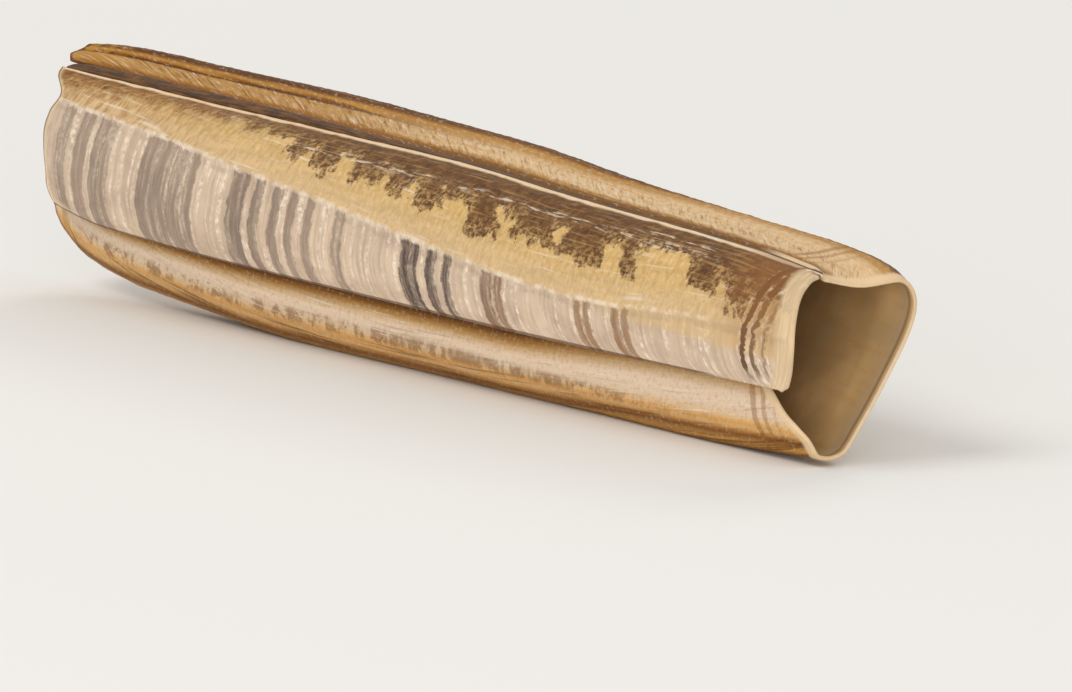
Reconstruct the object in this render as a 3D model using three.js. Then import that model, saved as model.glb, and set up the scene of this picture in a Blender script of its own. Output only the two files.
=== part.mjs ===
// A razor clam shell: two long valves and the horny ligament that joins them at the hinge.
// It lies on its straight ventral edge, empty and open at both ends, as it is found on a beach.
//
// Millimetres, +Z up. +X points to the posterior end, where the siphons would come out.
// -Y is the side of the left valve. The origin is under the middle of the shell, on the ground.

import * as THREE from 'three';
import { ParametricGeometry } from 'three/addons/geometries/ParametricGeometry.js';

// Driving dimensions. Stations along the shell are measured from its anterior tip.

const LENGTH = 150;
const WALL = 1.1; // thickness of a valve away from its edges
const RIM = 0.6; // thickness of a valve at its edges
const TAPER = 6; // distance from an edge over which the wall thins
const BEVEL = 0.3; // how far the rounded edge stands past the last full section
const MIDDLE = 75.2; // the station over which the middle of the shell's length lies
const HINGE_Y = -2.89; // the hinge line, off the middle of the shell's width

const RIGHT_STEPS = { along: 30, round: 33 };
const LEFT_STEPS = { along: 30, round: 18 };

const SHELL_COLOUR = 0xcdb896;
const RIGHT_COLOUR = 0xb99a63;
const LIGAMENT_COLOUR = 0x3a2413;

// A smooth curve through a few stations, each [distance along, value]. It never swings past them.

function profile(stations) {
  const last = stations.length - 1;
  const chords = stations.slice(1).map(([x, y], i) => (y - stations[i][1]) / (x - stations[i][0]));
  const slopes = stations.map((station, i) => {
    if (i === 0) return chords[0];
    if (i === last) return chords[last - 1];
    const product = chords[i - 1] * chords[i];
    return product > 0 ? (2 * product) / (chords[i - 1] + chords[i]) : 0;
  });
  return (at) => {
    const x = THREE.MathUtils.clamp(at, stations[0][0], stations[last][0]);
    const i = Math.max(stations.findIndex(([end], k) => k > 0 && x <= end) - 1, 0);
    const [x0, y0] = stations[i];
    const [x1, y1] = stations[i + 1];
    const t = (x - x0) / (x1 - x0);
    const leave = t * (1 - t) ** 2 * slopes[i];
    const arrive = t * t * (1 - t) * slopes[i + 1];
    return y0 + (y1 - y0) * t * t * (3 - 2 * t) + (x1 - x0) * (leave - arrive);
  };
}

// How the shell's cross section changes along its length.

const hingeHeight = profile([[0, 23.9], [40, 23.6], [80, 23.4], [104, 22.4], [136, 21.3], [150, 20.2]]);
const crownRise = profile([[0, 1.8], [9, 2.4], [24, 2.1], [45, 2], [80, 1.1], [125, 0], [143, -0.2], [150, -0.8]]);
const rightReach = profile([[0, 4], [6, 6.3], [20, 9.2], [50, 11.2], [90, 12.2], [150, 12.5]]);
const leftReach = profile([[0, 2], [6, 3], [20, 4.4], [50, 5.4], [90, 5.4], [150, 3.9]]);
const keelHeight = profile([[0, 9.4], [3, 6.4], [8, 3.7], [18, 2], [34, 0.8], [52, 0], [122, 0], [150, 0.9]]);
const marginHeight = profile([[3, 11.4], [6, 10.2], [11, 9.5], [20, 8.95], [60, 8.6], [150, 8.45]]);
const grooveWidth = profile([[0, 1.6], [40, 1.5], [75, 0.6], [150, 0.5]]);
const grooveStep = profile([[0, 0.45], [40, 0.4], [75, 0.25], [150, 0.1]]);

const LEFT_HINGE = -0.25; // the left valve's edge, beside the hinge line
const LAP_INSET = 1.4; // how far the right valve's edge stays inside the left valve's outer face
const LAP_HEIGHT = 0.9; // how far it is tucked up behind the left valve's lower edge
const LEFT_BULGE = 1.1; // the left valve's lower part stands out this many times its reach
const LEFT_FLARE = 0.5; // outward turn of the left valve's lower edge

// The right valve's outer face at station x: from the hinge over the crown, down the right side,
// under the keel and up to the edge that is tucked inside the left valve. A point's x is its
// distance from the hinge line, and its y is its height above the ground. Towards the back end
// the crown grows squarer and the right side leans in more.

function rightSection(x) {
  const hinge = hingeHeight(x);
  const crown = hinge + crownRise(x);
  const reach = rightReach(x);
  const keel = keelHeight(x);
  const height = crown - keel;
  const lap = leftReach(x) * LEFT_BULGE - LAP_INSET;
  const back = THREE.MathUtils.smoothstep(x, 100, LENGTH);
  const out = (middle, end) => reach * THREE.MathUtils.lerp(middle, end, back);
  return new THREE.SplineCurve([
    new THREE.Vector2(grooveWidth(x), hinge + grooveStep(x)),
    new THREE.Vector2(reach * 0.4, hinge + crownRise(x) * THREE.MathUtils.lerp(0.7, 1.1, back)),
    new THREE.Vector2(out(0.76, 0.81), crown),
    new THREE.Vector2(reach * 0.97, crown - height * 0.13),
    new THREE.Vector2(out(0.97, 0.92), crown - height * 0.32),
    new THREE.Vector2(out(0.78, 0.68), crown - height * 0.6),
    new THREE.Vector2(out(0.54, 0.43), crown - height * 0.85),
    new THREE.Vector2(out(0.36, 0.24), keel),
    new THREE.Vector2(out(0.02, -0.04), keel),
    new THREE.Vector2(lap * -0.6, keel + height * 0.105),
    new THREE.Vector2(lap * -0.92, keel + height * 0.22),
    new THREE.Vector2(-lap, marginHeight(x) + LAP_HEIGHT),
  ]);
}

// The left valve's outer face, from the hinge down to its lower edge.

function leftSection(x) {
  const hinge = hingeHeight(x);
  const reach = leftReach(x);
  const height = hinge - marginHeight(x);
  return new THREE.SplineCurve([
    new THREE.Vector2(LEFT_HINGE, hinge),
    new THREE.Vector2(reach * -0.45, hinge - height * 0.045),
    new THREE.Vector2(reach * -0.8, hinge - height * 0.19),
    new THREE.Vector2(reach * -0.98, hinge - height * 0.42),
    new THREE.Vector2(reach * -1.04, hinge - height * 0.68),
    new THREE.Vector2(reach * -LEFT_BULGE, hinge - height * 0.86),
    new THREE.Vector2(reach * -LEFT_BULGE - LEFT_FLARE, marginHeight(x)),
  ]);
}

// The stations where each valve begins and ends, over the way round it: 0 at the hinge, 1 at the
// lower edge. The front ends are rounded, and the left one has a small notch where its diagonal
// ridge starts. The right valve's back end is cut away towards its tucked edge.

const rightFront = profile([[0, 2], [0.06, 1.9], [0.13, 3], [0.21, 2], [0.34, 0.5], [0.5, 0.3], [0.7, 1.6], [1, 4]]);
const rightBack = profile([[0, 150], [0.76, 150], [0.88, 148.4], [0.94, 145.6], [1, 142]]);
const leftFront = profile([[0, 3.3], [0.18, 4.2], [0.32, 6.3], [0.45, 4.4], [0.6, 3.2], [0.88, 4.6], [1, 7.6]]);
const leftBack = profile([[0, 150], [0.94, 150], [1, 149.3]]);

const RIGHT = {
  section: rightSection,
  front: rightFront,
  back: rightBack,
  girth: 64,
  steps: RIGHT_STEPS,
  turn: 1,
};
const LEFT = {
  section: leftSection,
  front: leftFront,
  back: leftBack,
  girth: 18,
  steps: LEFT_STEPS,
  turn: -1,
};

// A point of a valve's outer face. u runs from the front end to the back, v from the hinge to
// the lower edge. The keel is worn flat where it lies, so nothing reaches below the ground.

function outerPoint(valve, u, v) {
  const x = THREE.MathUtils.lerp(valve.front(v), valve.back(v), u);
  const { x: across, y: up } = valve.section(x).getPoint(v);
  return new THREE.Vector3(x - MIDDLE, HINGE_Y + across, Math.max(up, 0));
}

// The outer face's unit directions at a point: along the shell, round it, and out of it.

function directions(valve, u, v) {
  const step = 1e-3;
  const at = (a, b) => outerPoint(valve, THREE.MathUtils.clamp(a, 0, 1), THREE.MathUtils.clamp(b, 0, 1));
  const along = at(u + step, v).sub(at(u - step, v)).normalize();
  const round = at(u, v + step).sub(at(u, v - step)).normalize();
  const out = along.clone().cross(round).multiplyScalar(valve.turn).normalize();
  return { along, round, out };
}

function wallAt(valve, u, v) {
  const toEnd = Math.min(u, 1 - u) * LENGTH;
  const toEdge = Math.min(v, 1 - v) * valve.girth;
  const thick = THREE.MathUtils.smoothstep(Math.min(toEnd, toEdge), 0, TAPER);
  return THREE.MathUtils.lerp(RIM, WALL, thick);
}

// A point of the whole solid. depth is 0 on the outer face and 1 on the inner one. A u or v
// outside 0 to 1 is the crest of the rounded edge, a little past the last full section.

function solidPoint(valve, u, v, depth) {
  const onU = THREE.MathUtils.clamp(u, 0, 1);
  const onV = THREE.MathUtils.clamp(v, 0, 1);
  const { along, round, out } = directions(valve, onU, onV);
  return outerPoint(valve, onU, onV)
    .addScaledVector(out, -depth * wallAt(valve, onU, onV))
    .addScaledVector(along, BEVEL * Math.sign(u - onU))
    .addScaledVector(round, BEVEL * Math.sign(v - onV));
}

// A valve is one closed sheet. Each ring goes down the outer face, over the lower edge, back up
// the inner face and over the hinge edge. The first and last rings close on the edge's crest.

const CREST = 0.5;
const PAST = 1e-3;

function valveGeometry(valve) {
  const { along, round } = valve.steps;
  const across = Array.from({ length: round + 1 }, (_, i) => i / round);
  const ring = [
    ...across.map((v) => [v, 0]),
    [1 + PAST, CREST],
    ...across.toReversed().map((v) => [v, 1]),
    [-PAST, CREST],
    [0, 0],
  ];
  if (valve.turn > 0) ring.reverse();
  const places = Array.from({ length: along + 1 }, (_, i) => 0.5 - 0.5 * Math.cos((Math.PI * i) / along));
  const rings = [-PAST, ...places, 1 + PAST];
  const geometry = new ParametricGeometry(
    (s, t, target) => {
      const [v, depth] = ring[Math.round(s * (ring.length - 1))];
      const u = rings[Math.round(t * (rings.length - 1))];
      const atCrest = u < 0 || u > 1;
      target.copy(solidPoint(valve, u, v, atCrest ? CREST : depth));
    },
    ring.length - 1,
    rings.length - 1,
  );
  geometry.deleteAttribute('uv');
  geometry.computeVertexNormals();
  return geometry;
}

// The ligament is a spindle of dark horn that lies along the groove behind the front end.

const LIGAMENT = { from: 7, to: 60, halfWidth: 0.36, halfDepth: 0.6, sink: 0.05 };
const LIGAMENT_SIDES = 10;
const LIGAMENT_STEPS = 14;
const LIGAMENT_BLUNTNESS = 0.5; // under 1, the ends are blunter than a plain oval's

function ligamentGeometry() {
  const half = (LIGAMENT.to - LIGAMENT.from) / 2;
  const outline = Array.from({ length: LIGAMENT_STEPS + 1 }, (_, i) => {
    const angle = (Math.PI * i) / LIGAMENT_STEPS;
    const swell = i % LIGAMENT_STEPS === 0 ? 0 : Math.sin(angle) ** LIGAMENT_BLUNTNESS;
    return new THREE.Vector2(swell, -half * Math.cos(angle));
  });
  const spindle = new THREE.LatheGeometry(outline, LIGAMENT_SIDES);
  return spindle.scale(LIGAMENT.halfWidth, 1, LIGAMENT.halfDepth);
}

function named(name, geometry, color, roughness) {
  const mesh = new THREE.Mesh(geometry, new THREE.MeshStandardMaterial({ color, roughness, metalness: 0 }));
  mesh.name = name;
  return mesh;
}

const shell = new THREE.Group();
shell.add(named('left_valve', valveGeometry(LEFT), SHELL_COLOUR, 0.45));
shell.add(named('right_valve', valveGeometry(RIGHT), RIGHT_COLOUR, 0.45));

// The spindle is turned from upright to lie along the middle of the groove.

function grooveMiddle(x) {
  const across = (LEFT_HINGE + grooveWidth(x)) / 2;
  return new THREE.Vector3(x - MIDDLE, HINGE_Y + across, hingeHeight(x) - LIGAMENT.sink);
}

const ligament = named('ligament', ligamentGeometry(), LIGAMENT_COLOUR, 0.55);
const ligamentStart = grooveMiddle(LIGAMENT.from);
const ligamentEnd = grooveMiddle(LIGAMENT.to);
const ligamentRun = new THREE.Vector3().subVectors(ligamentEnd, ligamentStart).normalize();
ligament.quaternion.setFromUnitVectors(new THREE.Vector3(0, 1, 0), ligamentRun);
ligament.position.addVectors(ligamentStart, ligamentEnd).divideScalar(2);
shell.add(ligament);

export default shell;
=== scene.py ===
"""A razor clam shell: two long thin valves, gaping at both ends, and the dark ligament between them."""

import math

import bpy
import numpy as np
from bpy.props import FloatProperty, FloatVectorProperty, IntProperty, PointerProperty
from bpy.types import Operator, Panel, PropertyGroup
from mathutils import Matrix, Vector


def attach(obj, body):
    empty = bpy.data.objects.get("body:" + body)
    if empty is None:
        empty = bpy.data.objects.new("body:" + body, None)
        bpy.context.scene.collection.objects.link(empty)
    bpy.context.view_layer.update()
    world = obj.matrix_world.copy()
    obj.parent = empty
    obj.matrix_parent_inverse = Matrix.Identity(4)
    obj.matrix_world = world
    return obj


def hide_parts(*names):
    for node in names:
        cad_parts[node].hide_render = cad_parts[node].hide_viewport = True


bl_info = {
    "name": "Razor Clam Shell",
    "version": (1, 0, 0),
    "blender": (4, 5, 0),
    "location": "3D View > Sidebar > Shell",
    "description": "Builds a razor clam shell's valves, ligament and studio stage on its packed frame",
    "category": "Add Mesh",
}

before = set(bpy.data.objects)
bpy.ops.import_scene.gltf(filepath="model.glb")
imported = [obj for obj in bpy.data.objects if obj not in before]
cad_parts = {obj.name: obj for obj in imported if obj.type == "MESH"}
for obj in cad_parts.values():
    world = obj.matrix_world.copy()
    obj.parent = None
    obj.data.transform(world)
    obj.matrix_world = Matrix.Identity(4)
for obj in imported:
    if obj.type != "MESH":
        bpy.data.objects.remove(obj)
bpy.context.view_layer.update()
MM = 0.001

# ------------------------------------------------------------
# The shell's form, in millimetres. Stations run from the anterior tip, and "down" runs from 0 at
# a valve's hinge edge, round its outer face, to 1 at its lower edge.
# ------------------------------------------------------------

LENGTH = 150.0
MIDDLE = 75.2
HINGE_Y = -2.89
TAPER = 6.0
LEFT_HINGE = -0.25
LAP_INSET = 1.4
LAP_HEIGHT = 0.9
LEFT_BULGE = 1.1
LEFT_FLARE = 0.5
LEFT_GIRTH = 18.0
RIGHT_GIRTH = 64.0
FADE = 1.2  # distance from a rim over which the relief dies away
RIM_TURNS = 5  # steps round a rim


def profile(*stations):
    """A smooth curve through (distance, value) stations. It never swings past them."""
    xs, ys = np.array(stations, float).T
    widths = np.diff(xs)
    chords = np.diff(ys) / widths
    slopes = np.concatenate([chords[:1], np.zeros(len(xs) - 2), chords[-1:]])
    for i in range(1, len(xs) - 1):
        if chords[i - 1] * chords[i] > 0:
            slopes[i] = 2 * chords[i - 1] * chords[i] / (chords[i - 1] + chords[i])

    def at(x):
        x = np.clip(x, xs[0], xs[-1])
        i = np.clip(np.searchsorted(xs, x) - 1, 0, len(xs) - 2)
        t = (x - xs[i]) / widths[i]
        bend = t * (1 - t) ** 2 * slopes[i] - t * t * (1 - t) * slopes[i + 1]
        return ys[i] + (ys[i + 1] - ys[i]) * t * t * (3 - 2 * t) + widths[i] * bend

    return at


hinge_height = profile((0, 23.9), (40, 23.6), (80, 23.4), (104, 22.4), (136, 21.3), (150, 20.2))
crown_rise = profile((0, 1.8), (9, 2.4), (24, 2.1), (45, 2), (80, 1.1), (125, 0), (143, -0.2), (150, -0.8))
right_reach = profile((0, 4), (6, 6.3), (20, 9.2), (50, 11.2), (90, 12.2), (150, 12.5))
left_reach = profile((0, 2), (6, 3), (20, 4.4), (50, 5.4), (90, 5.4), (150, 3.9))
keel_height = profile((0, 9.4), (3, 6.4), (8, 3.7), (18, 2), (34, 0.8), (52, 0), (122, 0), (150, 0.9))
margin_height = profile((3, 11.4), (6, 10.2), (11, 9.5), (20, 8.95), (60, 8.6), (150, 8.45))
groove_width = profile((0, 1.6), (40, 1.5), (75, 0.6), (150, 0.5))
groove_step = profile((0, 0.45), (40, 0.4), (75, 0.25), (150, 0.1))

right_front = profile((0, 2), (0.06, 1.9), (0.13, 3), (0.21, 2), (0.34, 0.5), (0.5, 0.3), (0.7, 1.6), (1, 4))
right_back = profile((0, 150), (0.76, 150), (0.88, 148.4), (0.94, 145.6), (1, 142))
left_front = profile((0, 3.3), (0.18, 4.2), (0.32, 6.3), (0.45, 4.4), (0.6, 3.2), (0.88, 4.6), (1, 7.6))
left_back = profile((0, 150), (0.94, 150), (1, 149.3))


def smooth(x, low, high):
    """0 below low, 1 above high, and an even S between them."""
    t = np.clip((x - low) / (high - low), 0, 1)
    return t * t * (3 - 2 * t)


def hump(x, middle, width):
    """A rounded ridge, 1 at its middle and gone about two widths away."""
    return np.exp(-(((x - middle) / width) ** 2))


def right_section(x):
    """The right valve's outer face at stations x: over the crown, down the side, under the keel, up the lap."""
    hinge = hinge_height(x)
    rise = crown_rise(x)
    crown = hinge + rise
    reach = right_reach(x)
    keel = keel_height(x)
    height = crown - keel
    lap = left_reach(x) * LEFT_BULGE - LAP_INSET
    back = smooth(x, 100, LENGTH)

    def out(middle, end):
        return reach * (middle + (end - middle) * back)

    return [
        (groove_width(x), hinge + groove_step(x)),
        (reach * 0.4, hinge + rise * (0.7 + 0.4 * back)),
        (out(0.76, 0.81), crown),
        (reach * 0.97, crown - height * 0.13),
        (out(0.97, 0.92), crown - height * 0.32),
        (out(0.78, 0.68), crown - height * 0.6),
        (out(0.54, 0.43), crown - height * 0.85),
        (out(0.36, 0.24), keel),
        (out(0.02, -0.04), keel),
        (lap * -0.6, keel + height * 0.105),
        (lap * -0.92, keel + height * 0.22),
        (-lap, margin_height(x) + LAP_HEIGHT),
    ]


def left_section(x):
    """The left valve's outer face at stations x, from the hinge to its lower edge."""
    hinge = hinge_height(x)
    reach = left_reach(x)
    height = hinge - margin_height(x)
    return [
        (LEFT_HINGE + 0 * x, hinge),
        (reach * -0.45, hinge - height * 0.045),
        (reach * -0.8, hinge - height * 0.19),
        (reach * -0.98, hinge - height * 0.42),
        (reach * -1.04, hinge - height * 0.68),
        (reach * -LEFT_BULGE, hinge - height * 0.86),
        (reach * -LEFT_BULGE - LEFT_FLARE, margin_height(x)),
    ]


def along_curve(points, t):
    """The place at share t along an even Catmull-Rom curve through the points."""
    place = t * (len(points) - 1)
    i = min(int(place), len(points) - 2)
    w = place - i
    before, start, end, after = (
        np.array(points[min(max(k, 0), len(points) - 1)]) for k in (i - 1, i, i + 1, i + 2)
    )
    leave = (end - before) / 2
    arrive = (after - start) / 2
    cubic = 2 * start - 2 * end + leave + arrive
    square = -3 * start + 3 * end - 2 * leave - arrive
    return cubic * w**3 + square * w**2 + leave * w + start


# ------------------------------------------------------------
# Growth. A valve grows at its rim, so its lines follow the shape that the rim had.
# ------------------------------------------------------------

# How far behind its own station a growth line's lowest point lies, over the way down the valve.

left_lag = profile(
    (0, 7.5), (0.1, 5.4), (0.32, 3), (0.45, 1.6), (0.6, 0.4), (0.7, 0), (0.8, 0.5), (0.9, 1.7), (1, 3.8)
)
right_lag = profile(
    (0, 14), (0.05, 9.5), (0.1, 5), (0.16, 1.8), (0.3, 0), (0.52, 0), (0.62, 1), (0.8, 4), (1, 9)
)

# The pale ridge that crosses the left valve from its front notch to its lower back corner.

left_ridge = profile(
    (5, 0.35), (20, 0.362), (30, 0.385), (40, 0.42), (50, 0.455), (60, 0.49), (70, 0.53),
    (80, 0.57), (90, 0.6), (100, 0.63), (110, 0.645), (117, 0.643), (125, 0.615), (134, 0.595), (150, 0.58),
)
left_gold_foot = profile((100, 0.64), (112, 0.668), (120, 0.7), (128, 0.73), (138, 0.75), (150, 0.77))

# The brown skin reaches down from the hinge to this line, and hangs lower in flaky patches.

left_skin = profile(
    (0, 0.27), (14, 0.215), (25, 0.19), (45, 0.2), (58, 0.23), (68, 0.25), (80, 0.33),
    (100, 0.345), (112, 0.345), (124, 0.3), (134, 0.34), (142, 0.4), (150, 0.42),
)
SKIN_PATCHES = (
    (50.5, 1.8, 0.235), (55.5, 2.0, 0.32), (61.2, 2.6, 0.35), (69.6, 3.2, 0.355), (76.4, 2.4, 0.38),
    (82.6, 2.6, 0.405), (92.9, 3.0, 0.475), (102.6, 3.6, 0.435), (111.6, 4.2, 0.475), (119.8, 1.7, 0.48),
    (133.6, 2.6, 0.475), (140.0, 2.0, 0.52),
)

# Growth bands below the ridge: (growth station, half width, depth of colour).

BANDS = (
    (7.4, 1.25, 0.62), (11.9, 1.3, 0.6), (15.6, 1.0, 0.7), (17.7, 0.95, 0.62),
    (28.3, 3.1, 0.7), (33.1, 1.35, 0.68), (35.9, 1.0, 0.66),
    (45.7, 1.6, 0.84), (49.6, 0.85, 0.8), (53.4, 0.9, 0.74), (56.5, 0.75, 0.66), (59.9, 0.85, 0.62),
    (65.9, 0.85, 0.66), (79.2, 0.85, 0.98), (80.9, 0.8, 1.0), (84.3, 0.85, 0.96), (87.3, 0.8, 0.92),
    (94.9, 1.0, 0.88), (97.2, 0.65, 0.82), (111.9, 0.55, 0.74), (113.5, 0.65, 0.78),
    (118.9, 0.75, 0.82), (120.6, 0.6, 0.72),
)
BACK_LINES = ((141.6, 0.5, 1.0), (143.4, 0.42, 0.85), (145.3, 0.3, 0.5))


def inside_any(at, marks):
    """How far inside the nearest of some bands a place lies, in mm, and how deep that band's colour is."""
    reach = np.full(at.shape, -50.0)
    depth = np.zeros(at.shape)
    for middle, half, strength in marks:
        inner = half - np.abs(at - middle)
        depth = np.where(inner > reach, strength, depth)
        reach = np.maximum(reach, inner)
    return reach, depth


def inside_skin(x, down, girth):
    """How far inside the brown skin a place lies, in mm, on a face of this girth."""
    skin = (left_skin(x) - down) * girth
    for middle, half, foot in SKIN_PATCHES:
        lobe = np.minimum((foot - down) * girth, half - np.abs(x - middle))
        skin = np.maximum(skin, lobe)
    return skin


def ripple(seed, start, end, gaps, width):
    """A run of uneven small ridges along one direction, as a height from 0 to about 1 at each place."""
    rng = np.random.default_rng(seed)
    fine = np.arange(start, end, width / 8)
    heights = np.zeros(fine.shape)
    place = start
    while place < end:
        place += rng.uniform(*gaps)
        tall = rng.uniform(0.35, 1.0)
        steep = hump(fine, place, width * rng.uniform(0.7, 1.3))
        heights = np.maximum(heights, tall * steep)
    return lambda x: np.interp(x, fine, heights)


growth_ridges = ripple(3, -20, 175, (0.9, 1.9), 0.42)
growth_steps = ripple(5, -20, 175, (4.5, 9.0), 1.1)
girth_striae = ripple(11, -2, 70, (0.7, 1.5), 0.36)


def unevenness(x, y, seed):
    """Slow swells over a valve, from -1 to 1."""
    rng = np.random.default_rng(seed)
    total = np.zeros(np.broadcast(x, y).shape)
    for _ in range(9):
        long, across = rng.uniform(0.05, 0.35), rng.uniform(0.1, 0.8)
        total = total + np.sin(x * long + y * across * rng.choice([-1, 1]) + rng.uniform(0, 2 * math.pi))
    return total / 9


# ------------------------------------------------------------
# Valves: a fine closed sheet of outer face, rounded rim and inner face
# ------------------------------------------------------------


class Sheet:
    """One valve's outer face on an even grid, with where each of its points lies."""

    def __init__(self, section, front, back, girth, turn, cells):
        along, around = cells
        u = np.linspace(0, 1, along + 1)
        v = np.linspace(0, 1, around + 1)
        self.station = np.empty((along + 1, around + 1))
        self.outer = np.empty((along + 1, around + 1, 3))
        for j, down in enumerate(v):
            x = front(down) + (back(down) - front(down)) * u
            across, up = along_curve(section(x), down)
            self.station[:, j] = x
            self.outer[:, j] = np.stack([x - MIDDLE, HINGE_Y + across, np.maximum(up, 0)], -1)
        self.down = np.broadcast_to(v, self.station.shape)
        steps = np.linalg.norm(np.diff(self.outer, axis=1), axis=2)
        self.girth = np.concatenate([np.zeros((along + 1, 1)), np.cumsum(steps, 1)], 1)
        self.along = unit(np.gradient(self.outer, axis=0))
        self.round = unit(np.gradient(self.outer, axis=1))
        self.out = unit(np.cross(self.along, self.round)) * turn
        to_end = np.minimum(u, 1 - u)[:, None] * LENGTH
        to_edge = np.minimum(v, 1 - v)[None] * girth
        self.to_rim = np.minimum(to_end, to_edge)
        self.turn = turn


def linked(name, data):
    """A new object of some data, in the scene."""
    held = bpy.data.objects.new(name, data)
    bpy.context.scene.collection.objects.link(held)
    return held


def unit(vectors):
    return vectors / np.maximum(np.linalg.norm(vectors, axis=-1, keepdims=True), 1e-9)


def closed_mesh(name, sheet, outer, inner, round_over, marks):
    """Joins an outer and an inner grid with a rounded rim. Marks are named numbers at each grid point."""
    rows, columns = sheet.station.shape
    grid = np.arange(rows * columns).reshape(rows, columns)
    rim = np.concatenate([grid[:-1, 0], grid[-1, :-1], grid[:0:-1, -1], grid[0, :0:-1]])
    away = np.zeros_like(outer)
    away[0] -= sheet.along[0]
    away[-1] += sheet.along[-1]
    away[:, 0] -= sheet.round[:, 0]
    away[:, -1] += sheet.round[:, -1]
    away = unit(away).reshape(-1, 3)[rim]
    flat_outer, flat_inner = outer.reshape(-1, 3), inner.reshape(-1, 3)
    vertices = [flat_outer, flat_inner]
    loops = [rim]
    count = 2 * rows * columns
    for k in range(1, RIM_TURNS):
        angle = math.pi * k / RIM_TURNS
        share = (1 - math.cos(angle)) / 2
        middle = flat_outer[rim] * (1 - share) + flat_inner[rim] * share
        vertices.append(middle + away * round_over * math.sin(angle))
        loops.append(count + np.arange(len(rim)))
        count += len(rim)
    loops.append(rim + rows * columns)
    cells = np.stack([grid[:-1, :-1], grid[1:, :-1], grid[1:, 1:], grid[:-1, 1:]], -1).reshape(-1, 4)
    faces = [cells, cells[:, ::-1] + rows * columns]
    for near, far in zip(loops, loops[1:]):
        faces.append(np.stack([np.roll(near, -1), near, far, np.roll(far, -1)], -1))
    points = np.concatenate(vertices)
    points[:, 2] = np.maximum(points[:, 2], 0)
    quads = np.concatenate(faces)
    if sheet.turn < 0:
        quads = quads[:, ::-1]
    mesh = bpy.data.meshes.new(name)
    mesh.from_pydata((points * MM).tolist(), [], quads.tolist())
    for key, values in marks.items():
        flat = np.stack(values, -1).reshape(-1, 3)
        whole = [flat, flat] + [flat[rim]] * (RIM_TURNS - 1)
        attribute = mesh.attributes.new(key, "FLOAT_VECTOR", "POINT")
        attribute.data.foreach_set("vector", np.concatenate(whole).astype(np.float32).ravel())
    mesh.polygons.foreach_set("use_smooth", [True] * len(quads))
    inside = np.zeros(len(quads), np.int32)
    inside[len(cells) : 2 * len(cells)] = 1
    mesh.polygons.foreach_set("material_index", inside)
    mesh.update()
    return linked(name, mesh)


def wall(sheet, sizes):
    """The valve's thickness in mm: thin at the rims, full a little way in."""
    rim, full = sizes.rim_thickness / MM, sizes.wall_thickness / MM
    return rim + (full - rim) * smooth(sheet.to_rim, 0, TAPER)


def left_valve_mesh(sizes):
    """The left valve: fine growth ridges, the diagonal ridge, a raised hinge lip and the brown skin's edge."""
    cells = (sizes.left_along, sizes.left_around)
    sheet = Sheet(left_section, left_front, left_back, LEFT_GIRTH, -1, cells)
    x, down = sheet.station, sheet.down
    growth = x - left_lag(down)
    from_ridge = (down - left_ridge(x)) * LEFT_GIRTH
    skin = inside_skin(x, down, LEFT_GIRTH)
    bands, depth = inside_any(growth, BANDS)
    bands = np.minimum(bands, from_ridge - 0.25)
    back_lines, line_depth = inside_any(growth, BACK_LINES)
    back_lines = np.minimum(back_lines, np.minimum(down - 0.02, 0.97 - down) * LEFT_GIRTH)
    gold_foot = (left_gold_foot(x) - down) * LEFT_GIRTH

    fade = smooth(sheet.to_rim, 0, FADE)
    below = smooth(from_ridge, -0.3, 1.0)
    fine = sizes.growth_height / MM * growth_ridges(growth) * (0.35 + 0.65 * below)
    broad = 1.2 * sizes.growth_height / MM * growth_steps(growth)
    diagonal = sizes.ridge_height / MM * hump(from_ridge, 0, 0.42) * smooth(x, 5, 12)
    lip = 0.16 * hump(down * LEFT_GIRTH, 0.75, 0.5)
    flakes = 0.05 * smooth(skin, -0.3, 0.3)
    end_steps = 0.1 * smooth(x, 139, 143) * hump(back_lines, 0.3, 0.5)
    swell = 0.06 * unevenness(x, sheet.girth, 21)
    relief = (fine + broad + diagonal + lip + flakes + end_steps + swell) * fade
    outer = sheet.outer + sheet.out * relief[..., None]

    tooth = 0.9 * hump(x, 14, 1.4) * hump(down * LEFT_GIRTH, 1.5, 1.0)
    scar = -0.12 * hump(x, 26, 9) * hump(down, 0.25, 0.08) - 0.12 * hump(x, 118, 6) * hump(down, 0.35, 0.1)
    pallial = -0.1 * smooth(down, 0.84, 0.88) * smooth(sheet.to_rim, 0, 2)
    thickness = wall(sheet, sizes) + tooth + scar + pallial
    inner = sheet.outer - sheet.out * thickness[..., None]

    marks = {
        "lay": (x, sheet.girth, growth),
        "marks": (skin, bands, from_ridge),
        "depths": (depth, back_lines, sheet.to_rim),
        "zones": (down, gold_foot, line_depth),
    }
    return closed_mesh("left_valve_shell", sheet, outer, inner, sizes.rim_thickness / MM / 2, marks)


# The right valve's far side carries the same skin, ridge and bands as the left valve. They lie
# between these shares of its girth.

FLANK = (0.13, 0.62)


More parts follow.
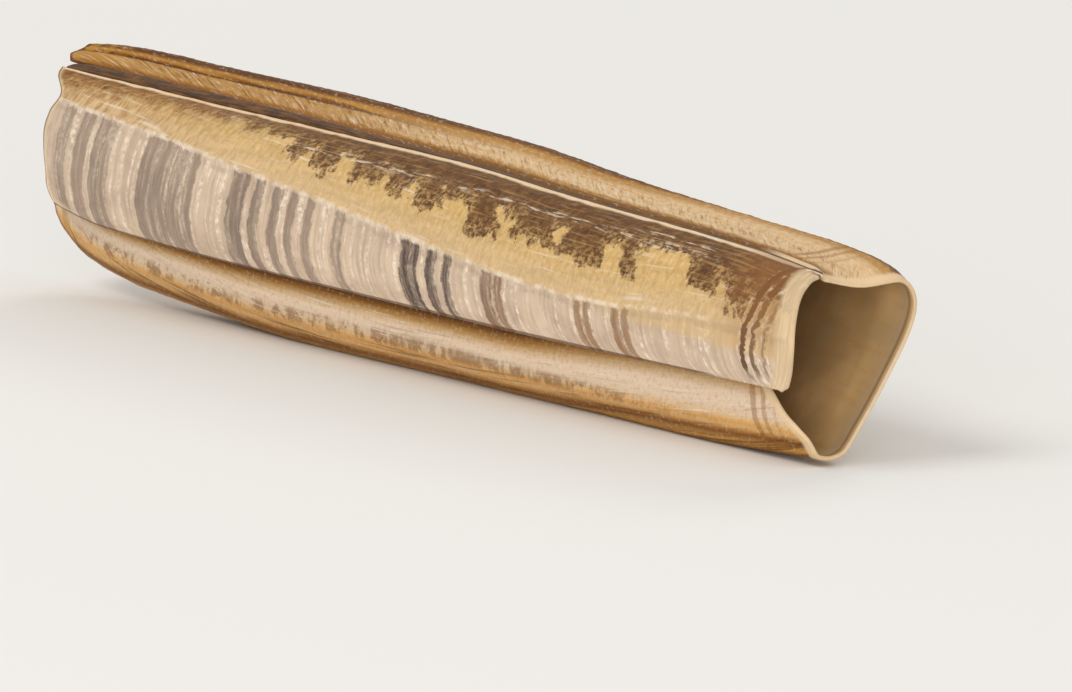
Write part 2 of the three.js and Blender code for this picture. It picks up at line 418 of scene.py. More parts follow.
def right_valve_mesh(sizes):
    """The right valve: growth ridges, lengthwise striae on the crown and keel, and a rolled back rim."""
    cells = (sizes.right_along, sizes.right_around)
    sheet = Sheet(right_section, right_front, right_back, RIGHT_GIRTH, 1, cells)
    x, down = sheet.station, sheet.down
    growth = x - right_lag(down)
    flank = np.clip((down - FLANK[0]) / (FLANK[1] - FLANK[0]), 0, 1)
    scale = RIGHT_GIRTH * (FLANK[1] - FLANK[0])
    from_ridge = (flank - left_ridge(x)) * scale
    skin = inside_skin(x, flank, scale)
    bands, depth = inside_any(growth, BANDS)
    bands = np.minimum(bands, np.minimum(from_ridge - 0.4, (FLANK[1] - down) * RIGHT_GIRTH))
    back_lines, line_depth = inside_any(x + 0.12 * sheet.girth * smooth(down, 0.6, 0.1), BACK_LINES)

    fade = smooth(sheet.to_rim, 0, FADE)
    crown = 1 - smooth(down, 0.12, 0.2)
    keel = smooth(down, 0.6, 0.7)
    fine = sizes.growth_height / MM * growth_ridges(growth) * (0.9 - 0.6 * keel - 0.3 * crown)
    broad = 0.6 * sizes.growth_height / MM * growth_steps(growth)
    striae = sizes.growth_height / MM * girth_striae(sheet.girth) * (0.8 * crown + 0.7 * keel)
    diagonal = 1.2 * sizes.ridge_height / MM * hump(from_ridge, 0, 0.7) * smooth(x, 5, 12) * (1 - crown)
    fold = -0.22 * hump(down, 0.108, 0.008) * (1 - smooth(x, 80, 105))
    roll = -0.55 * smooth(x, 145.5, LENGTH) ** 2 * (1 - keel)
    swell = 0.07 * unevenness(x, sheet.girth, 33)
    relief = (fine + broad + striae + diagonal + fold + swell) * fade + roll
    outer = sheet.outer + sheet.out * relief[..., None]

    tooth = 0.8 * hump(x, 17, 1.4) * hump(sheet.girth, 1.3, 0.9)
    scar = -0.12 * hump(x, 26, 9) * hump(down, 0.26, 0.04) - 0.12 * hump(x, 118, 6) * hump(down, 0.32, 0.05)
    pallial = -0.12 * smooth(down, 0.66, 0.68) * smooth(sheet.to_rim, 0, 2)
    lines = 0.05 * growth_steps(growth)
    thickness = wall(sheet, sizes) + tooth + scar + pallial + lines
    inner = sheet.outer + sheet.out * (roll - thickness)[..., None]

    marks = {
        "lay": (x, sheet.girth, growth),
        "marks": (skin, bands, from_ridge),
        "depths": (depth, back_lines, sheet.to_rim),
        "zones": (down, flank, line_depth),
    }
    return closed_mesh("right_valve_shell", sheet, outer, inner, sizes.rim_thickness / MM / 2, marks)


# ------------------------------------------------------------
# Ligament: a wrinkled strip of horn that fills the groove, thick in front and thin behind
# ------------------------------------------------------------

strip_half_height = profile((3, 0.3), (9, 0.75), (20, 0.85), (50, 0.75), (70, 0.4), (90, 0.26), (149, 0.2))


def ligament_mesh(sizes):
    """A strip of horn along the groove, wrinkled lengthwise, with fine cracks across it."""
    steps, sides = sizes.ligament_along, sizes.ligament_around
    x = np.linspace(3.2, 149.4, steps + 1)[:, None]
    turn = np.linspace(0, 2 * math.pi, sides, endpoint=False)[None]
    left = LEFT_HINGE - 0.25
    right = groove_width(x) + 0.25
    middle = (left + right) / 2
    half = (right - left) / 2
    tall = strip_half_height(x)
    blunt = np.sqrt(smooth(x, 3.0, 5.0) * (1 - smooth(x, 148.8, 149.6)) + 1e-4)
    rng = np.random.default_rng(9)
    wrinkle = np.zeros((steps + 1, sides))
    for folds in (5, 9, 14):
        phase = rng.uniform(0, 2 * math.pi)
        drift = rng.uniform(0.02, 0.06)
        wrinkle += np.sin(folds * turn + drift * x + phase) / folds
    cracks = ripple(13, 0, 152, (0.8, 2.6), 0.22)(x) * (0.4 + 0.6 * np.sin(turn * 2 + x) ** 2)
    swell = 1 + 0.22 * wrinkle - 0.1 * cracks
    across = middle + half * blunt * np.cos(turn) * swell
    up = hinge_height(x) + groove_step(x) * 0.5 - 0.25 + tall * blunt * np.sin(turn) * swell
    points = np.stack([x - MIDDLE + 0 * turn, HINGE_Y + across, up], -1)
    grid = np.arange((steps + 1) * sides).reshape(steps + 1, sides)
    ahead = np.roll(grid, -1, axis=1)
    quads = np.stack([grid[:-1], ahead[:-1], ahead[1:], grid[1:]], -1).reshape(-1, 4)
    faces = quads[:, ::-1].tolist() + [grid[0].tolist(), grid[-1, ::-1].tolist()]
    mesh = bpy.data.meshes.new("hinge_ligament")
    mesh.from_pydata((points.reshape(-1, 3) * MM).tolist(), [], faces)
    lay = np.stack([x + 0 * turn, turn + 0 * x, 0 * x * turn], -1)
    attribute = mesh.attributes.new("lay", "FLOAT_VECTOR", "POINT")
    attribute.data.foreach_set("vector", lay.astype(np.float32).ravel())
    mesh.polygons.foreach_set("use_smooth", [True] * len(faces))
    mesh.update()
    return linked("hinge_ligament", mesh)


# ------------------------------------------------------------
# Finishes
# ------------------------------------------------------------


class Finish:
    """A material's nodes, with short ways to add the ones that the shell's finishes use."""

    def __init__(self, name):
        self.material = bpy.data.materials.new(name)
        self.material.use_nodes = True
        self.nodes = self.material.node_tree.nodes
        self.links = self.material.node_tree.links
        self.nodes.clear()
        self.shader = self.add("ShaderNodeBsdfPrincipled")
        surface = self.add("ShaderNodeOutputMaterial")
        self.links.new(self.shader.outputs["BSDF"], surface.inputs["Surface"])

    def add(self, kind, inputs=None, **settings):
        node = self.nodes.new(kind)
        for key, value in settings.items():
            setattr(node, key, value)
        for key, value in (inputs or {}).items():
            self.plug(node.inputs[key], value)
        return node

    def plug(self, socket, value):
        if isinstance(value, bpy.types.NodeSocket):
            self.links.new(value, socket)
        else:
            socket.default_value = value

    def mark(self, name):
        """The three numbers that a mesh carries under this name."""
        held = self.add("ShaderNodeAttribute", attribute_name=name, attribute_type="GEOMETRY")
        parts = self.add("ShaderNodeSeparateXYZ", {"Vector": held.outputs["Vector"]})
        return parts.outputs["X"], parts.outputs["Y"], parts.outputs["Z"]

    def maths(self, operation, first, second=0.0, third=0.0):
        node = self.add("ShaderNodeMath", {0: first, 1: second, 2: third}, operation=operation)
        return node.outputs[0]

    def scaled(self, value, factor, offset=0.0):
        return self.maths("MULTIPLY_ADD", value, factor, offset)

    def rise(self, value, low, high):
        """0 below low, 1 above high, and an even S between them. High may lie below low."""
        inputs = {"Value": value, "From Min": low, "From Max": high, "To Min": 0.0, "To Max": 1.0}
        node = self.add("ShaderNodeMapRange", inputs, interpolation_type="SMOOTHSTEP", clamp=True)
        return node.outputs["Result"]

    def both(self, first, second):
        return self.maths("MULTIPLY", first, second)

    def near(self, value, middle, far, close):
        """0 where a value lies further than far from the middle, 1 where it lies closer than close."""
        return self.rise(self.maths("ABSOLUTE", self.scaled(value, 1.0, -middle)), far, close)

    def stirred(self, value, grain, factor, offset):
        """A value that wanders with a grain."""
        return self.maths("ADD", value, self.scaled(grain, factor, offset))

    def grain(self, x, y, detail=3.0, rough=0.55, seed=0.0, warp=0.0):
        """Cloudy grain from 0 to 1 over two directions. Either may be a (value, factor) pair."""
        x, y = (self.scaled(*v) if isinstance(v, tuple) else v for v in (x, y))
        place = self.add("ShaderNodeCombineXYZ", {"X": x, "Y": y, "Z": seed})
        inputs = {"Vector": place.outputs[0], "Scale": 1.0}
        inputs.update({"Detail": detail, "Roughness": rough, "Distortion": warp})
        return self.add("ShaderNodeTexNoise", inputs, noise_dimensions="3D").outputs["Fac"]

    def mix(self, share, under, over):
        """Colour over laid on colour under, by its share."""
        node = self.add("ShaderNodeMix", data_type="RGBA", clamp_factor=True)
        self.plug(node.inputs[0], share)
        self.plug(node.inputs[6], under)
        self.plug(node.inputs[7], over)
        return node.outputs[2]

    def lay(self, under, share, strength, over, factor=1.0):
        """A colour, made lighter or darker by its factor, laid on by a share of the given strength."""
        return self.mix(self.scaled(share, strength), under, tone(over, factor))

    def ramp(self, value, stops):
        """A colour for each value, from (place, colour) or (place, colour, factor) stops."""
        node = self.add("ShaderNodeValToRGB", {"Fac": value})
        elements = node.color_ramp.elements
        while len(elements) > 1:
            elements.remove(elements[-1])
        first, *others = stops
        elements[0].position, elements[0].color = first[0], tone(*first[1:])
        for place, *colour in others:
            elements.new(place).color = tone(*colour)
        return node.outputs["Color"]

    def bump(self, height, depth_mm, strength):
        inputs = {"Height": height, "Strength": strength, "Distance": depth_mm * MM}
        return self.add("ShaderNodeBump", inputs).outputs["Normal"]

    def finish(self, colour, roughness, normal, **fixed):
        self.plug(self.shader.inputs["Base Color"], colour)
        self.plug(self.shader.inputs["Roughness"], roughness)
        self.plug(self.shader.inputs["Normal"], normal)
        for key, value in fixed.items():
            self.shader.inputs[key.replace("_", " ").title().replace("Ior", "IOR")].default_value = value
        return self.material


def tone(colour, factor=1.0):
    """A colour made lighter or darker, with its alpha."""
    return tuple(min(c * factor, 1.0) for c in tuple(colour)[:3]) + (1.0,)


def chalk_colour(f, colours, x, girth, growth):
    """The bare shell: warm white, ribbed with grey-beige growth lines and beaded with pale flecks."""
    wide = f.grain((growth, 0.16), (girth, 0.09), detail=4)
    ribs = f.grain((growth, 0.95), (girth, 0.07), detail=2, rough=0.5, seed=4.0)
    hairs = f.grain((growth, 2.6), (girth, 0.3), detail=3, rough=0.6, seed=9.0, warp=0.2)
    beads = f.grain((growth, 1.0), (girth, 1.25), detail=4, rough=0.7, seed=2.0)
    cool = f.grain((x, 0.14), (girth, 0.22), detail=4, rough=0.6, seed=28.0)
    colour = f.mix(f.rise(wide, 0.36, 0.64), tone(colours.chalk, 0.92), tone(colours.chalk, 1.06))
    colour = f.lay(colour, f.rise(cool, 0.46, 0.66), 0.5, colours.band_front, 2.5)
    colour = f.lay(colour, f.rise(ribs, 0.52, 0.38), 0.32, colours.chalk_line)
    colour = f.lay(colour, f.rise(hairs, 0.48, 0.34), 0.32, colours.chalk_line, 0.8)
    pale = f.both(f.rise(ribs, 0.5, 0.64), f.rise(beads, 0.42, 0.6))
    colour = f.lay(colour, pale, 0.9, colours.highlight, 1.04)
    colour = f.lay(colour, f.rise(beads, 0.6, 0.7), 0.6, colours.highlight, 1.05)
    return colour, ribs, hairs


def band_colour(f, colours, colour, bands, depth, x, girth, growth):
    """Growth bands laid over a colour: grey-violet in front, browner towards the back end."""
    frayed = f.grain((growth, 0.9), (girth, 0.75), detail=6, rough=0.74, seed=6.0)
    streaks = f.grain((growth, 3.0), (girth, 0.45), detail=4, rough=0.7, seed=7.0)
    crumbs = f.grain((growth, 1.7), (girth, 1.6), detail=4, rough=0.75, seed=27.0)
    edge = f.stirred(bands, frayed, 1.9, -0.86)
    share = f.rise(edge, -0.1, 0.2)
    worn = f.both(f.rise(streaks, 0.34, 0.56), f.rise(crumbs, 0.3, 0.52))
    ribs = f.grain((growth, 0.95), (girth, 0.07), detail=2, rough=0.5, seed=4.0)
    shows = f.scaled(f.both(f.rise(ribs, 0.47, 0.6), f.rise(crumbs, 0.36, 0.56)), -0.32, 1.0)
    share = f.both(f.both(share, shows), f.both(depth, f.scaled(worn, 0.3, 0.74)))
    tint = f.mix(f.rise(x, 84.0, 108.0), tone(colours.band_front), tone(colours.band_back))
    tint = f.lay(tint, f.rise(crumbs, 0.5, 0.36), 0.6, colours.band_front, 0.62)
    darkest = f.both(f.rise(x, 70.0, 78.0), f.rise(x, 94.0, 88.0))
    tint = f.lay(tint, darkest, 0.85, colours.band_front, 0.42)
    return f.mix(share, colour, tint)


def dabbed(f, colours, colour, along, across, amount, seed):
    """Worn mottling: small pale and dark dabs over a colour."""
    dabs = f.grain((along, 1.7), (across, 1.4), detail=4, rough=0.72, seed=seed)
    colour = f.mix(f.scaled(f.rise(dabs, 0.5, 0.36), amount), colour, tone(colours.brown, 1.2))
    return f.mix(f.scaled(f.rise(dabs, 0.52, 0.66), amount), colour, tone(colours.highlight))


def skin_colour(f, colours, x, girth, growth):
    """The brown skin near the hinge: mottled, streaked lengthwise, darkest behind the front third."""
    clouds = f.grain((x, 0.22), (girth, 0.7), detail=5, rough=0.65, seed=1.0)
    mottle = f.grain((growth, 1.4), (girth, 1.7), detail=4, rough=0.7, seed=3.0)
    streaks = f.grain((x, 0.12), (girth, 3.4), detail=3, seed=5.0, warp=0.3)
    blots = f.grain((growth, 0.5), (girth, 0.8), detail=5, rough=0.7, seed=29.0)
    dark = f.rise(f.stirred(x, clouds, 24.0, -12.0), 22.0, 62.0)
    colour = f.mix(dark, tone(colours.skin_front), tone(colours.skin_back))
    colour = f.lay(colour, f.rise(mottle, 0.44, 0.64), 0.5, colours.skin_front, 1.12)
    colour = f.lay(colour, f.rise(blots, 0.5, 0.36), 0.85, colours.skin_back, 0.55)
    tawny = f.both(f.rise(blots, 0.54, 0.66), f.scaled(dark, -0.55, 0.8))
    colour = f.mix(tawny, colour, tone(colours.gold, 0.78))
    colour = f.lay(colour, f.rise(streaks, 0.54, 0.68), 0.45, colours.gold, 0.75)
    return colour, mottle


def left_finish(colours):
    """The left valve outside: brown skin, golden slope, pale diagonal ridge, and banded chalk below it."""
    f = Finish("left valve outside")
    x, girth, growth = f.mark("lay")
    skin, bands, from_ridge = f.mark("marks")
    depth, back_lines, to_rim = f.mark("depths")
    down, gold_foot, line_depth = f.mark("zones")

    colour, lines, hairs = chalk_colour(f, colours, x, girth, growth)
    # Painted shade: the left valve darkens towards its lower edge, in uneven patches.
    low_shade_grain = f.grain((x, 0.11), (girth, 0.3), detail=4, seed=12.0)
    low_shade = f.both(f.rise(down, 0.55, 0.95), f.rise(low_shade_grain, 0.42, 0.62))
    colour = f.lay(colour, low_shade, 0.35, colours.chalk_line, 0.98)
    wavy = f.grain((x, 0.3), (girth, 0.3), detail=4, seed=8.0)
    amber = f.rise(f.stirred(gold_foot, wavy, 2.4, -1.2), -0.5, 0.9)
    amber = f.both(amber, f.rise(x, 96.0, 124.0))
    colour = f.lay(colour, amber, 0.55, colours.gold)
    colour = band_colour(f, colours, colour, bands, depth, x, girth, growth)

    gold_grain = f.grain((growth, 1.6), (girth, 0.5), detail=4, rough=0.6, seed=13.0)
    gold_sweep = f.grain((x, 0.1), (girth, 0.9), detail=4, seed=14.0)
    gold = f.mix(f.rise(gold_sweep, 0.36, 0.66), tone(colours.gold, 0.93), tone(colours.gold, 1.07))
    gold = f.lay(gold, f.rise(gold_grain, 0.52, 0.36), 0.6, colours.gold, 0.76)
    gold = f.lay(gold, f.rise(gold_grain, 0.56, 0.7), 0.45, colours.chalk)
    gold = dabbed(f, colours, gold, growth, girth, 0.26, 30.0)
    sweep = f.rise(f.stirred(from_ridge, gold_sweep, 1.6, -0.8), -3.4, -0.4)
    gold = f.lay(gold, sweep, 0.3, colours.chalk)
    front_tan = f.both(f.rise(x, 52.0, 12.0), f.rise(gold_grain, 0.62, 0.36))
    gold = f.lay(gold, front_tan, 0.6, colours.skin_front, 1.25)
    pale_line = f.grain((x, 0.06), (from_ridge, 1.3), detail=3, rough=0.6, seed=24.0)
    gold = f.lay(gold, f.rise(pale_line, 0.58, 0.68), 0.55, colours.highlight, 0.95)
    above = f.rise(f.stirred(from_ridge, wavy, 0.5, -0.25), 0.18, -0.22)
    colour = f.mix(above, colour, gold)

    broken = f.grain((x, 0.55), (girth, 0.4), detail=4, rough=0.7, seed=15.0)
    ridge_line = f.both(f.rise(f.maths("ABSOLUTE", from_ridge), 0.4, 0.06), f.rise(broken, 0.4, 0.62))
    ridge_line = f.both(ridge_line, f.rise(x, 146.0, 120.0))
    colour = f.lay(colour, ridge_line, 0.75, colours.highlight)
    under_line = f.both(f.near(from_ridge, 0.75, 0.4, 0.05), f.rise(broken, 0.6, 0.4))
    colour = f.lay(colour, under_line, 0.35, colours.chalk_line, 0.85)

    skin_tone, mottle = skin_colour(f, colours, x, girth, growth)
    ragged = f.grain((growth, 0.85), (girth, 0.8), detail=6, rough=0.72, seed=16.0)
    torn = f.grain((x, 0.3), (girth, 0.34), detail=4, rough=0.6, seed=26.0)
    flaked = f.stirred(skin, ragged, 3.6, -1.85)
    flaked = f.stirred(flaked, torn, 4.6, -2.3)
    soft_share = f.rise(flaked, -1.6, 1.2)
    crisp_share = f.rise(flaked, -0.2, 0.3)
    crisp = f.rise(x, 34.0, 56.0)
    share = f.maths("ADD", f.both(soft_share, f.scaled(crisp, -1.0, 1.0)), f.both(crisp_share, crisp))
    lost = f.both(f.rise(mottle, 0.44, 0.6), f.rise(skin, 2.2, 0.4))
    share = f.both(share, f.scaled(lost, -0.5, 1.0))
    colour = f.mix(f.scaled(share, 0.96), colour, skin_tone)
    specks = f.both(f.rise(ragged, 0.62, 0.7), f.both(f.rise(skin, -3.0, -0.5), f.rise(x, 60.0, 90.0)))
    colour = f.lay(colour, specks, 0.7, colours.skin_back)

    dashes = f.grain((x, 0.3), (girth, 2.6), detail=4, rough=0.7, seed=17.0)
    on_skin = f.both(f.near(down, 0.25, 0.035, 0.008), f.rise(x, 42.0, 52.0))
    on_skin = f.both(on_skin, f.rise(x, 138.0, 128.0))
    on_top = f.both(f.near(down, 0.19, 0.03, 0.008), f.rise(x, 116.0, 124.0))
    on_top = f.both(on_top, f.rise(x, 138.0, 130.0))
    pale_dash = f.both(f.maths("MAXIMUM", on_skin, on_top), f.rise(dashes, 0.5, 0.64))
    colour = f.lay(colour, pale_dash, 0.7, colours.highlight, 0.95)

    lip_wave = f.grain((x, 0.14), (girth, 0.2), detail=3, seed=18.0)
    lip_foot = f.scaled(lip_wave, 0.05, 0.055)
    lip = f.rise(f.maths("SUBTRACT", lip_foot, down), -0.012, 0.014)
    lip_tone = f.mix(f.rise(dashes, 0.52, 0.66), tone(colours.lip), tone(colours.highlight))
    lip_tone = f.lay(lip_tone, f.rise(dashes, 0.42, 0.28), 0.4, colours.skin_front, 1.2)
    colour = f.mix(f.scaled(lip, 0.92), colour, lip_tone)

    frayed = f.grain((growth, 1.2), (girth, 1.1), detail=4, seed=19.0)
    line = f.rise(f.stirred(back_lines, frayed, 2.6, -1.25), -0.1, 0.15)
    line = f.both(f.both(line, line_depth), f.rise(down, 0.99, 0.85))
    colour = f.lay(colour, line, 0.92, colours.skin_back, 0.9)
    glint = f.both(f.near(back_lines, -0.35, 0.3, 0.08), f.rise(frayed, 0.5, 0.62))
    colour = f.lay(colour, f.both(glint, f.rise(x, 134.0, 140.0)), 0.8, colours.highlight)
    end_wash = f.both(f.rise(x, 134.0, 144.0), f.rise(x, 148.6, 146.4))
    end_wash = f.both(end_wash, f.rise(down, 0.85, 0.45))
    colour = f.lay(colour, end_wash, 0.5, colours.skin_front, 1.15)
    end_rim = f.both(f.rise(x, 146.8, 148.2), f.rise(down, 0.04, 0.1))
    rim_streak = f.grain((x, 2.8), (girth, 0.2), detail=3, seed=20.0)
    rim_tone = f.mix(f.rise(rim_streak, 0.4, 0.66), tone(colours.lip, 0.7), tone(colours.lip, 0.86))
    colour = f.mix(f.scaled(end_rim, 0.9), colour, rim_tone)
    front_rim = f.rise(to_rim, 1.3, 0.3)
    colour = f.lay(colour, f.both(front_rim, f.rise(x, 14.0, 9.0)), 0.6, colours.lip, 0.9)
    edge = f.both(f.rise(to_rim, 0.34, 0.12), f.rise(x, 140.0, 134.0))
    colour = f.lay(colour, edge, 0.75, colours.skin_back, 0.9)

    rough = f.scaled(hairs, 0.16, 0.36)
    rough = f.maths("ADD", rough, f.scaled(share, 0.1))
    height = f.maths("ADD", f.scaled(lines, 0.6), f.scaled(hairs, 0.35))
    height = f.maths("ADD", height, f.scaled(f.both(share, mottle), 0.8))
    normal = f.bump(height, 0.12, 0.8)
    return f.finish(colour, rough, normal, specular_ior_level=0.15, coat_weight=0.02, coat_roughness=0.35)


def right_finish(colours):
    """The right valve outside: a streaked crown and keel, and a banded far side like the left valve's. Painted
    shade lies by the hinge groove, along the crown's top outline and under the left valve's margin.
    """
    f = Finish("right valve outside")
    x, girth, growth = f.mark("lay")
    skin, bands, from_ridge = f.mark("marks")
    depth, back_lines, to_rim = f.mark("depths")
    down, _, line_depth = f.mark("zones")

    long_streak = f.grain((x, 0.045), (girth, 1.5), detail=4, rough=0.62, seed=31.0, warp=0.25)
    fine_streak = f.grain((x, 0.09), (girth, 4.2), detail=3, rough=0.6, seed=32.0, warp=0.3)
    strokes = f.grain((growth, 1.5), (girth, 0.42), detail=4, rough=0.68, seed=33.0, warp=0.2)
    squarer = f.scaled(f.rise(x, 92.0, 128.0), -0.03)
    wander = f.maths("ADD", down, f.both(squarer, f.rise(down, 0.06, 0.14)))
    sway = f.stirred(f.scaled(long_streak, 0.014, -0.007), fine_streak, 0.008, -0.004)
    wander = f.maths("ADD", wander, sway)

    tan, cream, ochre = tone(colours.tan), tone(colours.cream), tone(colours.ochre)
    umber, brown = tone(colours.umber), tone(colours.brown)
    # Both ends of the crown ramps are painted shade. Brown up to about 0.03 is the groove's shadow by the
    # hinge, and umber (brown in the back ramp) from about 0.14 is shade along the crown's top outline. The
    # stripes between are the shell's own.
    front_crown = f.ramp(wander, (
        (0.0, brown, 0.8), (0.016, brown), (0.03, brown, 1.3), (0.042, tan), (0.085, tan), (0.094, ochre),
        (0.1, umber), (0.111, umber), (0.117, brown, 1.3), (0.124, ochre), (0.131, brown), (0.138, umber),
        (0.2, umber),
    ))
    back_crown = f.ramp(wander, (
        (0.0, brown, 0.7), (0.022, brown, 0.75), (0.034, ochre), (0.05, cream, 1.1), (0.1, cream, 1.1),
        (0.122, tan), (0.134, ochre), (0.142, brown), (0.155, umber), (0.2, brown),
    ))
    behind = f.rise(f.stirred(x, long_streak, 30.0, -15.0), 44.0, 86.0)
    crown = f.mix(behind, front_crown, back_crown)
    pale_stroke = f.both(f.rise(strokes, 0.54, 0.7), f.near(down, 0.068, 0.045, 0.02))
    crown = f.lay(crown, pale_stroke, 0.85, colours.highlight, 0.94)
    dark_stroke = f.both(f.rise(strokes, 0.5, 0.34), f.rise(down, 0.13, 0.09))
    crown = f.mix(f.both(dark_stroke, f.scaled(behind, -0.25, 0.92)), crown, tone(colours.brown, 0.85))
    gold_stroke = f.both(f.rise(long_streak, 0.54, 0.66), f.rise(down, 0.02, 0.04))
    crown = f.lay(crown, gold_stroke, 0.4, colours.ochre, 1.25)
    crown = dabbed(f, colours, crown, f.scaled(growth, 0.6), f.scaled(girth, 1.2), 0.3, 39.0)

    # From about 0.925 to the lap's upper edge the ramp darkens through tan, brown and umber. This is partly the
    # brown skin and partly painted contact shadow under the left valve's margin.
    keel = f.ramp(wander, (
        (0.58, cream), (0.62, tan), (0.66, ochre), (0.7, brown), (0.735, ochre, 1.2), (0.752, tan, 0.7),
        (0.766, umber, 2.3), (0.78, tan, 0.8), (0.794, tan, 1.5), (0.806, cream), (0.812, tan, 1.5),
        (0.822, tan, 1.6), (0.845, cream, 1.15), (0.875, colours.chalk, 1.16), (0.91, colours.chalk, 1.26),
        (0.925, cream), (0.937, tan), (0.948, brown), (0.96, umber),
    ))
    patch = f.grain((growth, 0.42), (girth, 0.33), detail=5, rough=0.66, seed=34.0)
    window = f.both(f.rise(down, 0.812, 0.84), f.rise(down, 0.895, 0.868))
    window = f.both(window, f.rise(x, 5.0, 14.0))
    near_middle = f.both(f.rise(x, 66.0, 84.0), f.rise(x, 112.0, 100.0))
    blotch = f.rise(f.maths("ADD", patch, f.scaled(near_middle, 0.13)), 0.46, 0.54)
    blotch = f.both(blotch, f.both(window, f.rise(x, 142.0, 104.0)))
    slant = f.grain(f.maths("MULTIPLY_ADD", girth, -0.5, f.scaled(x, 0.7)), (girth, 0.3), detail=2, seed=35.0)
    keel = f.mix(f.both(f.scaled(blotch, 0.68), f.rise(slant, 0.3, 0.56)), keel, tone(colours.band_back, 0.95))
    # The pale streaks stop short of the painted contact shadow under the left valve's margin.
    keel_pale = f.both(f.rise(fine_streak, 0.54, 0.68), f.rise(down, 0.83, 0.87))
    keel = f.lay(keel, f.both(keel_pale, f.rise(down, 0.945, 0.925)), 0.7, colours.highlight)
    keel_dark = f.both(f.rise(long_streak, 0.5, 0.36), f.rise(down, 0.62, 0.68))
    keel_dark = f.both(keel_dark, f.rise(down, 0.84, 0.8))
    keel = f.lay(keel, keel_dark, 0.6, colours.umber, 1.1)
    keel = dabbed(f, colours, keel, growth, girth, 0.24, 40.0)

    chalk, _, hairs = chalk_colour(f, colours, x, girth, growth)
    side = band_colour(f, colours, chalk, bands, depth, x, girth, growth)
    gold = f.mix(f.rise(long_streak, 0.36, 0.64), tone(colours.gold, 0.86), tone(colours.gold, 1.04))
    side = f.mix(f.rise(from_ridge, 0.4, -0.4), side, gold)
    side_ridge = f.both(f.rise(f.maths("ABSOLUTE", from_ridge), 0.8, 0.15), f.rise(strokes, 0.36, 0.56))
    side = f.lay(side, side_ridge, 0.8, colours.highlight)
    skin_tone, _ = skin_colour(f, colours, x, girth, growth)
    ragged = f.grain((growth, 0.7), (girth, 0.6), detail=6, rough=0.72, seed=36.0)
    torn = f.grain((x, 0.22), (girth, 0.2), detail=4, rough=0.6, seed=38.0)
    flaked = f.stirred(f.scaled(ragged, 4.2, -2.1), torn, 9.0, -4.5)
    share = f.rise(f.maths("ADD", skin, flaked), -0.3, 0.4)
    side = f.mix(f.scaled(share, 0.95), side, skin_tone)

    colour = f.mix(f.rise(wander, 0.15, 0.185), crown, side)
    colour = f.mix(f.rise(wander, 0.59, 0.625), colour, keel)
    streak_share = f.both(f.rise(long_streak, 0.44, 0.3), f.rise(down, 0.1, 0.14))
    colour = f.mix(f.scaled(streak_share, 0.25), colour, umber)

    line = f.rise(f.stirred(back_lines, strokes, 0.7, -0.35), -0.1, 0.15)
    colour = f.mix(f.scaled(f.both(line, line_depth), 0.5), colour, brown)
    front_lines = f.grain((to_rim, 1.1), (girth, 0.05), detail=3, seed=37.0)
    near_front = f.both(f.rise(x, 12.0, 5.0), f.rise(front_lines, 0.42, 0.58))
    colour = f.mix(f.scaled(near_front, 0.6), colour, ochre)
    rim = f.both(f.rise(to_rim, 1.5, 0.7), f.rise(x, 137.0, 143.0))
    colour = f.lay(colour, rim, 0.85, colours.lip, 0.95)
    front_rim = f.both(f.rise(to_rim, 0.6, 0.2), f.rise(x, 20.0, 10.0))
    colour = f.mix(f.scaled(front_rim, 0.7), colour, umber)

    rough = f.scaled(fine_streak, 0.18, 0.46)
    height = f.maths("ADD", f.scaled(fine_streak, 0.6), f.scaled(strokes, 0.5))
    height = f.maths("ADD", height, f.scaled(hairs, 0.25))
    normal = f.bump(height, 0.13, 0.8)
    return f.finish(colour, rough, normal, specular_ior_level=0.08, coat_weight=0.0, coat_roughness=0.35)


def inside_finish(colours, name, hinge_side):
    """The smooth inside: painted grey-brown shade by the hinge, warm cream on the walls, golden towards the
    rims.
    """
    f = Finish(name)
    x, girth, growth = f.mark("lay")
    _, _, to_rim = f.mark("depths")
    down, _, _ = f.mark("zones")
    clouds = f.grain((x, 0.1), (girth, 0.12), detail=5, seed=41.0)
    lines = f.grain((growth, 0.5), (girth, 0.08), detail=4, seed=42.0)
    hairs = f.grain((x, 0.1), (girth, 0.9), detail=4, seed=43.0)
    colour = f.mix(f.rise(clouds, 0.36, 0.64), tone(colours.inside, 0.82), tone(colours.inside, 1.08))
    colour = f.lay(colour, f.rise(lines, 0.56, 0.34), 0.2, colours.ochre, 1.2)
    colour = f.lay(colour, f.rise(hairs, 0.52, 0.34), 0.14, colours.brown, 1.6)
    # Painted shade: the inner face darkens towards the hinge, where the inside of the shell lies in shade.
    roof_shade = f.rise(f.stirred(down, clouds, 0.04, -0.02), hinge_side, hinge_side * 0.45)
    colour = f.lay(colour, roof_shade, 0.7, colours.roof_shade)
    near_rim = f.rise(f.stirred(to_rim, clouds, 3.0, -1.5), 4.0, 1.2)
    colour = f.lay(colour, near_rim, 0.6, colours.lip, 0.8)
    rim_line = f.both(f.rise(to_rim, 0.35, 0.55), f.rise(to_rim, 1.15, 0.8))
    colour = f.lay(colour, rim_line, 0.55, colours.brown)
    rough = f.scaled(hairs, 0.12, 0.26)
    normal = f.bump(f.maths("ADD", lines, hairs), 0.05, 0.6)
    return f.finish(colour, rough, normal, specular_ior_level=0.5, coat_weight=0.15, coat_roughness=0.25)


